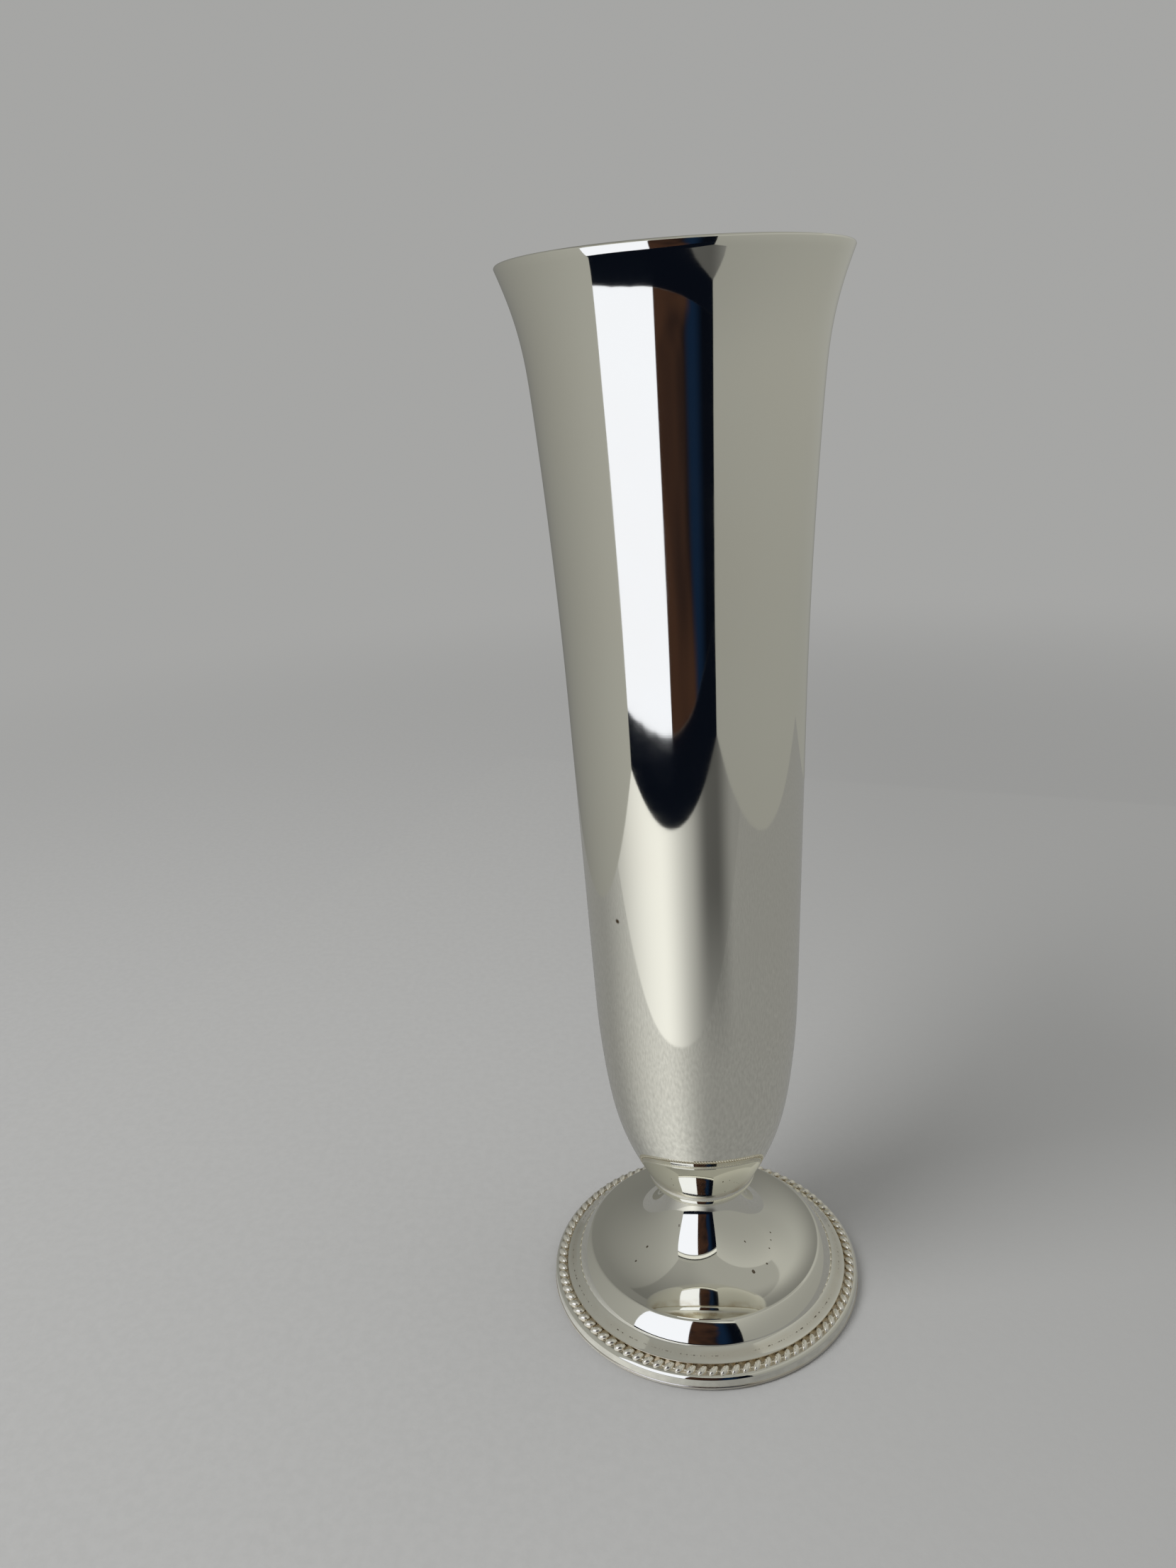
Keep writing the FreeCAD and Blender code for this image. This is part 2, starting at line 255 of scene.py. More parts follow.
def section(corners, step):
    # points (radius, height) in metres along corners given in mm; a corner may carry the turn and
    # curve share, which is radius over chord, of the arc that leads on from it
    points = []
    for i, corner in enumerate(corners):
        begin = Vector(corner[:2])
        points.append(begin)
        if i + 1 == len(corners):
            break
        end = Vector(corners[i + 1][:2])
        across = end - begin
        if len(corner) > 2:
            turn, share = corner[2:]
            half = math.asin(min(1.0, 0.5 / share))
            radius = across.length * share
            side = 1 if turn == "left" else -1
            normal = Vector((-across.y, across.x)).normalized() * side
            centre = (begin + end) / 2 + normal * radius * math.cos(half)
            sweep = 2 * half
            count = max(3, math.ceil(max(sweep / (turning["arcStep"] * degree), sweep * radius / step)))
            for k in range(1, count):
                points.append(centre + Matrix.Rotation(side * sweep * k / count, 2) @ (begin - centre))
        else:
            count = max(1, math.ceil(across.length / (step * 2)))
            points.extend(begin + across * k / count for k in range(1, count))
    return [p * mm for p in points]


def soften(points, passes):
    # eases the changes of curve along a section and keeps its ends
    for _ in range(passes):
        inner = [points[i] / 2 + (points[i - 1] + points[i + 1]) / 4 for i in range(1, len(points) - 1)]
        points = [points[0], *inner, points[-1]]
    return points


def turned(name, points, segments, material):
    # a closed section (radius, height), walked with its solid on the left, turned about the axis
    rows, vertices, faces = [], [], []
    for p in points:
        count = 1 if p.x < turning["onAxis"] * mm else segments
        rows.append(list(range(len(vertices), len(vertices) + count)))
        for k in range(count):
            a = 2 * math.pi * k / segments
            vertices.append((p.x * math.cos(a), p.x * math.sin(a), p.y))
    for low, high in zip(rows, rows[1:] + rows[:1]):
        if len(low) == 1 and len(high) == 1:
            continue
        for k in range(segments):
            n = (k + 1) % segments
            if len(low) == 1:
                faces.append((low[0], high[n], high[k]))
            elif len(high) == 1:
                faces.append((low[k], low[n], high[0]))
            else:
                faces.append((low[k], low[n], high[n], high[k]))
    mesh = bpy.data.meshes.new(name)
    mesh.from_pydata(vertices, [], faces)
    mesh.polygons.foreach_set("use_smooth", [True] * len(mesh.polygons))
    mesh.set_sharp_from_angle(angle=turning["sharpAngle"] * degree)
    mesh.materials.append(material)
    piece = bpy.data.objects.new(name, mesh)
    scene.collection.objects.link(piece)
    return piece


def settle(piece, node):
    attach(piece, "root")
    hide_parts(node)


# trumpet body

bodyLow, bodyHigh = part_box("trumpet_body")
body = {
    "bottom": bodyLow.z / mm,
    "top": bodyHigh.z / mm,
    "mouthRadius": bodyHigh.x / mm,
    "footRadius": 12.95,
    "bellyRadius": 22.6,
    "bowlRise": 21.8,
    "bellyRise": 25.5,
    "throatDrop": 82.0,
    "mouthDrop": 18.5,
    "wall": 0.9,
    # radius of each joint between two arcs, as a share of the swell or flare
    "bowlWidthShare": 0.78,
    "barrelWidthShare": 0.168,
    "throatWidthShare": 0.52,
    # radius of each arc, as a share of its chord
    "bowlCurveShare": 2.64,
    "bellyCurveShare": 8.3,
    "throatCurveShare": 18.0,
    "mouthCurveShare": 3.06,
    "segments": 224,
    "step": 1.5,
    "rimStep": 0.1,
    "softening": 12,
    # marks, each with the places where it is none and full
    "tarnishHeight": (36.0, 31.5),
    "speckPlace": (-15.4, -17.1, 104.6),
    "speckReach": (0.75, 0.3),
    "insideTurn": (-0.1, -4.0),      # the outward part of the normal times the radius
    "dullHeight": (222.0, 196.0),
}


def bodyMarks(shader, at):
    # a little warm tarnish above the collar, one dark speck low on the front, and the inside gone dull
    b = body
    low = shader.ramp(at.height, *b["tarnishHeight"], mm)
    patch = shader.patches(at.coordinates, scale=160.0, low=0.35, high=0.8, detail=4.0)
    speck = shader.vector("DISTANCE", at.coordinates, tuple(c * mm for c in b["speckPlace"]))
    normal = shader.node("NewGeometry").outputs["Normal"]
    facing = shader.vector("DOT_PRODUCT", normal, at.coordinates)
    upward = shader.math("MULTIPLY", shader.separate(normal)[2], at.height)
    outward = shader.math("SUBTRACT", facing, upward)
    inside = shader.ramp(outward, *b["insideTurn"], mm)
    deep = shader.ramp(at.height, *b["dullHeight"], mm)
    return {
        "tarnish": shader.math("MULTIPLY", low, patch),
        "dark": shader.ramp(speck, *b["speckReach"], mm),
        "dull": shader.math("MULTIPLY", inside, deep),
    }


def makeBody():
    b = body
    swell = b["bellyRadius"] - b["footRadius"]
    flare = b["mouthRadius"] - b["bellyRadius"]
    lip = b["wall"] / 2
    bowlTop = b["bottom"] + b["bowlRise"]
    outside = [
        (b["footRadius"], b["bottom"], "left", b["bowlCurveShare"]),
        (b["footRadius"] + swell * b["bowlWidthShare"], bowlTop, "left", b["bellyCurveShare"]),
        (b["bellyRadius"], bowlTop + b["bellyRise"]),
        (b["bellyRadius"] + flare * b["barrelWidthShare"], b["top"] - b["throatDrop"], "right",
         b["throatCurveShare"]),
        (b["bellyRadius"] + flare * b["throatWidthShare"], b["top"] - b["mouthDrop"], "right",
         b["mouthCurveShare"]),
        (b["mouthRadius"], b["top"] - lip),
    ]
    outer = soften(section(outside, b["step"]), b["softening"])
    inner = [p - Vector((b["wall"] * mm, 0)) for p in reversed(outer)]
    rim = section([
        (b["mouthRadius"], b["top"] - lip, "left", quarter),
        (b["mouthRadius"] - lip, b["top"], "left", quarter),
        (b["mouthRadius"] - b["wall"], b["top"] - lip),
    ], b["rimStep"])
    points = outer + rim[1:-1] + inner
    material = silverShader("bodySilver", bodyMarks)
    settle(turned("trumpetBody", points, b["segments"], material), "trumpet_body")


makeBody()
print("trumpet body made")


# collar ring between body and foot

collarLow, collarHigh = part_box("collar_ring")
collar = {
    "bottom": collarLow.z / mm,
    "top": collarHigh.z / mm,
    "boreRadius": 2.2,
    "topRadius": body["footRadius"] - 0.2,     # set back a little under the body
    "taper": 1.15,
    "curveShare": 1.09,
    "edge": 0.12,
    "segments": 160,
    "step": 0.25,
    "jointReach": 0.7,                         # of the tarnish, in from each joint
}


def collarMarks(shader, at):
    # tarnish in the two joints above and below the ring
    c = collar
    middle = (c["top"] + c["bottom"]) / 2
    half = (c["top"] - c["bottom"]) / 2
    away = shader.math("ABSOLUTE", shader.math("SUBTRACT", at.height, middle * mm))
    joint = shader.ramp(away, half - c["jointReach"], half, mm)
    patch = shader.patches(at.coordinates, scale=260.0, low=0.3, high=0.7, detail=3.0)
    return {"tarnish": shader.math("MULTIPLY", joint, patch)}


def makeCollar():
    c = collar
    e = c["edge"]
    baseRadius = c["topRadius"] - c["taper"]
    points = section([
        (c["boreRadius"], c["bottom"]),
        (baseRadius - e, c["bottom"], "left", quarter),
        (baseRadius, c["bottom"] + e, "left", c["curveShare"]),
        (c["topRadius"], c["top"] - e, "left", quarter),
        (c["topRadius"] - e, c["top"]),
        (c["boreRadius"], c["top"]),
    ], c["step"])
    material = silverShader("collarSilver", collarMarks)
    settle(turned("collarRing", points, c["segments"], material), "collar_ring")


makeCollar()


# pedestal foot, and the beads that sit on it

footLow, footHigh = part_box("pedestal_foot")
foot = {
    "top": footHigh.z / mm,
    "bottom": footLow.z / mm,
    "edgeRadius": footHigh.x / mm,
    "wall": 0.9,
    "neckStep": 4.0,
    "neckCorner": 1.0,
    "crestWidth": 0.75,
    "crestDrop": 0.25,
    "shoulderWidth": 2.9,
    "shoulderDrop": 4.0,
    "flangeWidth": 2.95,
    "flangeDrop": 1.9,
    "seatDepth": 0.8,
    "seatHeight": 3.6,
    "edgeWidth": 0.95,
    "edgeDrop": 1.15,
    "easing": 0.1,               # of the small corners
    # radius of each arc, as a share of its chord
    "flareCurveShare": 0.755,
    "crestCurveShare": 1.36,
    "shoulderCurveShare": 2.35,
    "shoulderEaseShare": 1.0,
    "flangeCurveShare": 20.0,
    "seatEaseShare": 0.8,
    "edgeCurveShare": 0.785,
    "segments": 256,
    "step": 0.5,
    "finish": {"wave": 0.7},
    # tarnish: least and most of it on the seat, and its share along the flange
    "seatTarnish": (0.45, 0.8),
    "seatSpread": 0.03,
    "seatFade": 0.12,
    "flangeTarnish": 0.25,
    "flangeReach": 0.3,
    "flangeFade": 0.9,
    # the broken row of dark marks round the flange
    "rowOutset": 0.1,
    "rowReach": 0.05,
    "rowFade": 0.09,
    # dark specks on the dish: radius, degrees round from the front, half width
    "specks": [(18.7, 36.9, 0.42), (19.0, 49.7, 0.26), (16.4, 77.3, 0.2), (16.9, 70.2, 0.22),
               (17.4, 62.0, 0.2), (13.4, 45.9, 0.2), (16.1, -57.2, 0.26), (19.8, -55.2, 0.24),
               (10.2, -34.1, 0.18)],
    "speckRagged": 0.35,
    "speckEdge": (0.2, 0.12),    # past the half width, where a speck is none and full
    "darkShare": 0.9,
}
beads = {
    "count": 90,
    "radius": 0.95,
    "rise": 0.1,             # of a bead's middle above the seat
    "halfLength": 1.45,
    "halfWidth": 0.82,
    "slant": -46.0,          # of a bead's long way, from straight outwards
    "stripWidth": 0.5,
    "stripHeight": 0.12,
    "seatGap": 0.25,
    "jitter": 0.06,
    "seed": 7,
    "stripSteps": 180,
    "ballSegments": 18,
    "ballRings": 12,
    # rubbed a little paler than the rest, and rougher
    "finish": {"colour": (0.97, 0.94, 0.84), "roughness": 0.13, "wave": 1.6, "scratch": 2.0,
               "metallic": 0.9},
    # the brown in the gaps, each with the places where it is none and full
    "brownRise": (0.75, 0.3),      # above the seat
    "brownOutset": (0.5, -0.3),    # out from the ring's middle
    "brownShare": (0.3, 0.8),      # least and most along the ring
}
foot["seatOuter"] = foot["edgeRadius"] - foot["edgeWidth"]
beads["ringRadius"] = foot["seatOuter"] - beads["radius"]
foot["seatInner"] = beads["ringRadius"] - beads["radius"] - beads["seatGap"]


def footMarks(shader, at):
    # tarnish on the seat under the beads and faintly on the flange, a broken row of dark marks, specks
    f = foot
    patch = shader.patches(at.coordinates, scale=90.0, low=0.3, high=0.66, detail=4.0, roughness=0.6)
    seatMiddle = (f["seatInner"] + f["seatOuter"]) / 2
    seatReach = f["seatOuter"] - seatMiddle + f["seatSpread"]
    seat = shader.band(at.radius, seatMiddle, seatReach, f["seatFade"], mm)
    seat = shader.math("MULTIPLY", seat, shader.blend(patch, *f["seatTarnish"]))
    flangeMiddle = f["seatInner"] - f["flangeWidth"] / 2
    flange = shader.band(at.radius, flangeMiddle, f["flangeReach"], f["flangeFade"], mm)
    flange = shader.math("MULTIPLY", flange, shader.math("MULTIPLY", patch, f["flangeTarnish"]))
    row = shader.band(at.radius, flangeMiddle + f["rowOutset"], f["rowReach"], f["rowFade"], mm)
    around = shader.combine(at.angle, 0.0, 0.0)
    dashes = shader.patches(around, scale=26.0, low=0.5, high=0.56, detail=4.0, roughness=0.75)
    where = shader.patches(around, scale=1.9, low=0.4, high=0.55, detail=1.0)
    dark = shader.math("MULTIPLY", row, shader.math("MULTIPLY", dashes, where))
    ragged = shader.noise(at.coordinates, scale=2600.0)
    ragged = shader.math("MULTIPLY", ragged, f["speckRagged"] * mm)
    none, full = f["speckEdge"]
    for distance, turn, half in f["specks"]:
        side = math.sin(turn * degree)
        front = -math.cos(turn * degree)
        spot = shader.combine(distance * side * mm, distance * front * mm, at.height)
        away = shader.math("ADD", shader.vector("DISTANCE", at.coordinates, spot), ragged)
        dark = shader.math("MAXIMUM", dark, shader.ramp(away, half + none, half + full, mm))
    return {
        "tarnish": shader.math("MAXIMUM", seat, flange),
        "dark": shader.math("MULTIPLY", dark, f["darkShare"]),
    }


def makeFoot():
    f = foot
    corner = f["neckCorner"]
    wall = f["wall"]
    ease = f["easing"]
    bore = collar["boreRadius"]
    neckRadius = collar["topRadius"] - collar["taper"] - f["neckStep"]
    flangeEdge = f["seatHeight"] + f["seatDepth"]
    shoulderFoot = flangeEdge + f["flangeDrop"]
    shoulderTop = shoulderFoot + f["shoulderDrop"]
    shoulderFootRadius = f["seatInner"] - f["flangeWidth"]
    shoulderTopRadius = shoulderFootRadius - f["shoulderWidth"]
    crestRadius = shoulderTopRadius - f["crestWidth"]
    points = section([
        (bore, f["top"]),
        (neckRadius + corner, f["top"], "left", quarter),
        (neckRadius, f["top"] - corner, "left", f["flareCurveShare"]),
        (crestRadius, shoulderTop + f["crestDrop"], "right", f["crestCurveShare"]),
        (shoulderTopRadius, shoulderTop, "right", f["shoulderCurveShare"]),
        (shoulderFootRadius - ease / 4, shoulderFoot + ease / 2, "left", f["shoulderEaseShare"]),
        (shoulderFootRadius + ease / 2, shoulderFoot - ease / 4, "left", f["flangeCurveShare"]),
        (f["seatInner"] - ease, flangeEdge + ease / 2, "right", f["seatEaseShare"]),
        (f["seatInner"], flangeEdge - ease),
        (f["seatInner"], f["seatHeight"]),
        (f["seatOuter"], f["seatHeight"], "right", f["edgeCurveShare"]),
        (f["edgeRadius"], f["seatHeight"] - f["edgeDrop"]),
        (f["edgeRadius"], f["bottom"] + ease, "right", quarter),
        (f["edgeRadius"] - ease, f["bottom"]),
        # and back along the inside
        (f["edgeRadius"] - wall, f["bottom"]),
        (f["edgeRadius"] - wall, f["seatHeight"] - wall),
        (f["seatInner"], f["seatHeight"] - wall),
        (shoulderFootRadius - wall, shoulderFoot - wall, "left", f["shoulderCurveShare"]),
        (shoulderTopRadius - wall / 2, shoulderTop - wall, "right", f["flareCurveShare"]),
        (neckRadius - wall, f["top"] - wall),
        (bore, f["top"] - wall),
    ], f["step"])
    points.reverse()
    material = silverShader("footSilver", footMarks, **f["finish"])
    settle(turned("pedestalFoot", points, f["segments"], material), "pedestal_foot")


makeFoot()
print("collar and foot made")


# beaded wire, laid out by Geometry Nodes

def beadMarks(shader, at):
    # brown in the gaps between the beads, more of it on some stretches of the ring
    none, full = (foot["seatHeight"] + rise for rise in beads["brownRise"])
    low = shader.ramp(at.height, none, full, mm)
    none, full = (beads["ringRadius"] + outset for outset in beads["brownOutset"])
    low = shader.math("MULTIPLY", low, shader.ramp(at.radius, none, full, mm))
    around = shader.combine(shader.math("COSINE", at.angle), shader.math("SINE", at.angle), 0.0)
    stretch = shader.patches(around, scale=1.6, low=0.36, high=0.62, detail=3.0)
    return {"tarnish": shader.math("MULTIPLY", low, shader.blend(stretch, *beads["brownShare"]))}


def beadTree(material):
    tree = bpy.data.node_groups.new("beadRing", "GeometryNodeTree")
    face = tree.interface
    face.new_socket("Geometry", in_out="OUTPUT", socket_type="NodeSocketGeometry")
    values = {}
    for name, kind, value in [
        ("Count", "NodeSocketInt", beads["count"]),
        ("Ring radius", "NodeSocketFloat", beads["ringRadius"] * mm),
        ("Seat height", "NodeSocketFloat", foot["seatHeight"] * mm),
        ("Bead rise", "NodeSocketFloat", beads["rise"] * mm),
        ("Bead radius", "NodeSocketFloat", beads["radius"] * mm),
        ("Bead half length", "NodeSocketFloat", beads["halfLength"] * mm),
        ("Bead half width", "NodeSocketFloat", beads["halfWidth"] * mm),
        ("Slant", "NodeSocketFloat", beads["slant"] * degree),
        ("Strip width", "NodeSocketFloat", beads["stripWidth"] * mm),
        ("Strip height", "NodeSocketFloat", beads["stripHeight"] * mm),
        ("Unevenness", "NodeSocketFloat", beads["jitter"]),
        ("Seed", "NodeSocketInt", beads["seed"]),
    ]:
        socket = face.new_socket(name, in_out="INPUT", socket_type=kind)
        socket.default_value = value
        values[socket.identifier] = value
    nodes, links = tree.nodes, tree.links
    given = nodes.new("NodeGroupInput").outputs

    def add(kind, inputs=None, **settings):
        made = nodes.new(kind)
        for key, value in settings.items():
            setattr(made, key, value)
        for key, value in (inputs or {}).items():
            join(value, made.inputs[key])
        return made

    def join(value, target):
        if isinstance(value, bpy.types.NodeSocket):
            links.new(value, target)
        else:
            target.default_value = value

    def calculate(operation, a, b):
        return add("ShaderNodeMath", {0: a, 1: b}, operation=operation).outputs[0]

    # the low strip that joins the beads
    ring = add("GeometryNodeCurvePrimitiveCircle", {"Resolution": beads["stripSteps"],
                                                    "Radius": given["Ring radius"]})
    strip = add("GeometryNodeCurvePrimitiveQuadrilateral", {
        "Width": given["Strip width"], "Height": calculate("MULTIPLY", given["Strip height"], 2.0)})
    swept = add("GeometryNodeCurveToMesh", {"Curve": ring.outputs[0],
                                            "Profile Curve": strip.outputs[0]})

    # one bead: a ball of radius 1, which gets its length, width and height where it is laid
    ball = add("GeometryNodeMeshUVSphere", {"Segments": beads["ballSegments"],
                                            "Rings": beads["ballRings"], "Radius": 1.0})
    smooth = add("GeometryNodeSetShadeSmooth", {"Geometry": ball.outputs["Mesh"]})

    # its places, each bead a little different from the next
    places = add("GeometryNodeMeshCircle", {"Vertices": given["Count"], "Radius": given["Ring radius"]})
    index = add("GeometryNodeInputIndex").outputs[0]
    step = calculate("DIVIDE", 2 * math.pi, given["Count"])
    turn = add("ShaderNodeCombineXYZ", {
        "Z": calculate("ADD", calculate("MULTIPLY", index, step), given["Slant"])})
    vary = add("FunctionNodeRandomValue", {2: calculate("SUBTRACT", 1.0, given["Unevenness"]), 3: 1.0,
                                           "Seed": given["Seed"]}, data_type="FLOAT").outputs[1]
    size = add("ShaderNodeCombineXYZ", {
        "X": given["Bead half length"],
        "Y": calculate("MULTIPLY", given["Bead half width"], vary),
        "Z": calculate("MULTIPLY", given["Bead radius"], vary)})
    rise = add("ShaderNodeCombineXYZ", {"Z": given["Bead rise"]})
    risen = add("GeometryNodeSetPosition", {"Geometry": places.outputs["Mesh"],
                                            "Offset": rise.outputs[0]})
    laid = add("GeometryNodeInstanceOnPoints", {
        "Points": risen.outputs[0], "Instance": smooth.outputs["Geometry"],
        "Rotation": turn.outputs[0], "Scale": size.outputs[0]})

    both = add("GeometryNodeJoinGeometry")
    join(swept.outputs[0], both.inputs[0])
    join(laid.outputs[0], both.inputs[0])
    lift = add("ShaderNodeCombineXYZ", {"Z": given["Seat height"]})
    raised = add("GeometryNodeTransform", {"Geometry": both.outputs[0], "Translation": lift.outputs[0]})
    realised = add("GeometryNodeRealizeInstances", {"Geometry": raised.outputs[0]})
    painted = add("GeometryNodeSetMaterial", {"Geometry": realised.outputs[0], "Material": material})
    join(painted.outputs[0], add("NodeGroupOutput").inputs[0])
    return tree, values


def makeBeads():
    tree, values = beadTree(silverShader("beadSilver", beadMarks, **beads["finish"]))
    holder = bpy.data.objects.new("beadHolder", bpy.data.meshes.new("beadHolder"))
    scene.collection.objects.link(holder)
    modifier = holder.modifiers.new("beadRing", "NODES")
    modifier.node_group = tree
    for identifier, value in values.items():
        modifier[identifier] = value
    shown = holder.evaluated_get(bpy.context.evaluated_depsgraph_get())
    mesh = bpy.data.meshes.new_from_object(shown)
    bpy.data.objects.remove(holder)
    mesh.name = "beadWire"
    piece = bpy.data.objects.new("beadWire", mesh)
    scene.collection.objects.link(piece)
    settle(piece, "bead_wire")
    print("beads made:", len(mesh.polygons), "faces")


makeBeads()


# base plate with its rolled edge, and the pad under it

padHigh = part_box("baize_pad")[1]
plateLow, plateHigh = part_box("base_plate")
plate = {
    "bottom": plateLow.z / mm,
    "top": plateHigh.z / mm,
    "radius": plateHigh.x / mm,
    "underside": padHigh.z / mm,
    "rollHeight": 0.95,
    "padGap": 0.25,
    "shellGap": 0.25,
    "segments": 224,
    "step": 0.4,
    "finish": {"colour": (0.74, 0.72, 0.67), "roughness": 0.16, "wave": 1.5, "scratch": 3.0},
    "tarnishShare": 0.65,
    "nickShare": 0.8,
    "nickLean": 300.0,       # how fast the nicks change with height
}
pad = {
    "radius": padHigh.x / mm,
    "edge": 0.25,
    "segments": 160,
    "step": 0.5,
    "darkColour": (0.012, 0.07, 0.04),
    "paleColour": (0.035, 0.14, 0.085),
    "lintColour": (0.16, 0.27, 0.2),
    "lintShare": 0.4,
    "roughness": 0.95,
    "sheen": 0.5,
}


def plateMarks(shader, at):
    # a duller, knocked edge with dark nicks along it
    around = shader.combine(at.angle, 0.0, shader.math("MULTIPLY", at.height, plate["nickLean"]))
    nicks = shader.patches(around, scale=34.0, low=0.66, high=0.72, detail=4.0, roughness=0.7)
    patch = shader.patches(at.coordinates, scale=70.0, low=0.35, high=0.75, detail=4.0, roughness=0.6)
    return {
        "tarnish": shader.math("MULTIPLY", patch, plate["tarnishShare"]),
        "dark": shader.math("MULTIPLY", nicks, plate["nickShare"]),
    }


def makePlate():
    p = plate
    half = p["rollHeight"] / 2
    ring = p["radius"] - half
    rollTop = p["bottom"] + p["rollHeight"]
    pan = pad["radius"] + p["padGap"]
    spigot = foot["edgeRadius"] - foot["wall"] - p["shellGap"]
    points = section([
        (0.0, p["underside"]),
        (pan, p["underside"]),
        (pan + half, p["bottom"]),
        (ring, p["bottom"], "left", quarter),
        (p["radius"], p["bottom"] + half, "left", quarter),
        (ring, rollTop),
        (spigot, rollTop),
        (spigot, p["top"]),
        (0.0, p["top"]),
    ], p["step"])
    material = silverShader("plateSilver", plateMarks, **p["finish"])
    settle(turned("basePlate", points, p["segments"], material), "base_plate")


def baizeShader():
    # green felt with pale lint on its clumps
    shader = Shader("baizeFelt")
    coordinates = shader.coordinates()
    fibres = shader.noise(coordinates, scale=2400.0, detail=4.0, roughness=0.7)
    clumps = shader.noise(coordinates, scale=260.0, detail=3.0)
    colour = shader.mix(clumps, pad["darkColour"], pad["paleColour"])
    lint = shader.math("MULTIPLY", shader.ramp(fibres, low=0.62, high=0.78), pad["lintShare"])
    colour = shader.mix(lint, colour, pad["lintColour"])
    normal = shader.bump(fibres, strength=0.7, depth=0.15)
    return shader.finish(shader.skin(colour, pad["roughness"], normal, sheen=pad["sheen"]))


def makePad():
    top = plate["underside"]
    points = section([
        (0.0, 0.0),
        (pad["radius"] - pad["edge"], 0.0, "left", quarter),
        (pad["radius"], pad["edge"]),
        (pad["radius"], top),
        (0.0, top),
    ], pad["step"])
    settle(turned("baizePad", points, pad["segments"], baizeShader()), "baize_pad")


makePlate()
makePad()
print("base plate and pad made")


# hidden pieces keep their solids and get their own finishes

hidden = {
    "steelColours": ((0.42, 0.42, 0.41), (0.6, 0.6, 0.59)),
    "steelRoughness": (0.28, 0.45),
    "steelGrain": (1500.0, 1500.0, 120.0),
    "pitchColours": ((0.012, 0.01, 0.008), (0.05, 0.04, 0.03)),
    "pitchRoughness": (0.35, 0.6),
    "floorRoughness": 0.14,          # of the body's floor
    "tideRadius": (5.0, 12.0),       # where its tarnish starts and is full
    "tideShare": 0.8,
}


def steelShader():
    shader = Shader("fixingSteel")
    grain = shader.stretch(shader.coordinates(), hidden["steelGrain"])
    grain = shader.noise(grain, scale=1.0, detail=3.0)
    colour = shader.mix(grain, *hidden["steelColours"])
    rough = shader.blend(grain, *hidden["steelRoughness"])
    normal = shader.bump(grain, strength=0.3, depth=0.02)
    return shader.finish(shader.skin(colour, rough, normal, metallic=1.0))


def pitchShader():
    shader = Shader("pitchFilling")
    lumps = shader.noise(shader.coordinates(), scale=130.0, detail=5.0, roughness=0.6)
    colour = shader.mix(lumps, *hidden["pitchColours"])
    rough = shader.blend(lumps, *hidden["pitchRoughness"])
    return shader.finish(shader.skin(colour, rough, shader.bump(lumps, strength=0.8, depth=0.4)))


def bodyFloorMarks(shader, at):
    # water has left the body's floor dull towards its edge
    edge = shader.ramp(at.radius, *hidden["tideRadius"], mm)
    patch = shader.patches(at.coordinates, scale=210.0, low=0.3, high=0.7, detail=5.0, roughness=0.65)
    tide = shader.math("MULTIPLY", edge, patch)
    return {"tarnish": shader.math("MULTIPLY", tide, hidden["tideShare"])}


def dressSolids():
    steel = steelShader()
    finishes = {
        "body_floor": silverShader("floorSilver", bodyFloorMarks, roughness=hidden["floorRoughness"]),
        "stem_stud": steel,
        "stud_washer": steel,
        "stud_nut": steel,
        "foot_filling": pitchShader(),
    }
    for node, material in finishes.items():
        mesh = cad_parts[node].data
        mesh.materials.clear()
        mesh.materials.append(material)


dressSolids()
print("hidden pieces dressed")


# the studio: a pale floor, soft light, and a pale tent that only reflections show

studio = {
    "floorHalf": 3000.0,
    "backColour": (0.38, 0.38, 0.372),
    "airColour": (0.5, 0.6, 1.0),        # what reflections see past everything
    "airStrength": 0.008,
    "tentTurn": -18.0,
    "tentLeft": -226.0,
    "tentRight": 290.0,
    "tentBack": 356.0,
    "tentFront": -295.0,
    "tentHeight": 520.0,
    "openingHeight": 367.0,
    "thresholdHeight": 22.0,
    "shadeColour": (0.2, 0.3, 0.6),
    "shadeStrength": 0.012,
    "roomLine": [(-1200.0, -120.0), (-330.0, -345.0), (-280.0, -361.0), (-180.0, -396.0),
                 (-85.0, -411.0), (1200.0, -411.0)],
    "roomHeight": 1100.0,
    "wallLift": 0.5,                     # over the floor
    "shadeLift": 0.4,
}


def stagePiece(name, vertices, faces, material, onlyReflected=True):
    mesh = bpy.data.meshes.new(name)
    mesh.from_pydata([Vector(v) * mm for v in vertices], [], faces)
    mesh.materials.append(material)
    piece = bpy.data.objects.new(name, mesh)
    scene.collection.objects.link(piece)
    if onlyReflected:
        piece.visible_camera = False
        piece.visible_diffuse = False
        piece.visible_shadow = False
        piece.visible_transmission = False


def tentPoint(across, along, height):
    # a point given along the tent's own sides, which stand turned on the floor
    turn = Matrix.Rotation(studio["tentTurn"] * degree, 2)
    flat = turn @ Vector((across, along))
    return (flat.x, flat.y, height)


def tentPlace(shader, coordinates):
    # the other way: how far across and along the tent a point of the material is
    turn = shader.node("VectorRotate", {"Vector": coordinates, "Angle": -studio["tentTurn"] * degree},
                       rotation_type="Z_AXIS")
    return shader.separate(turn.outputs[0])[:2]


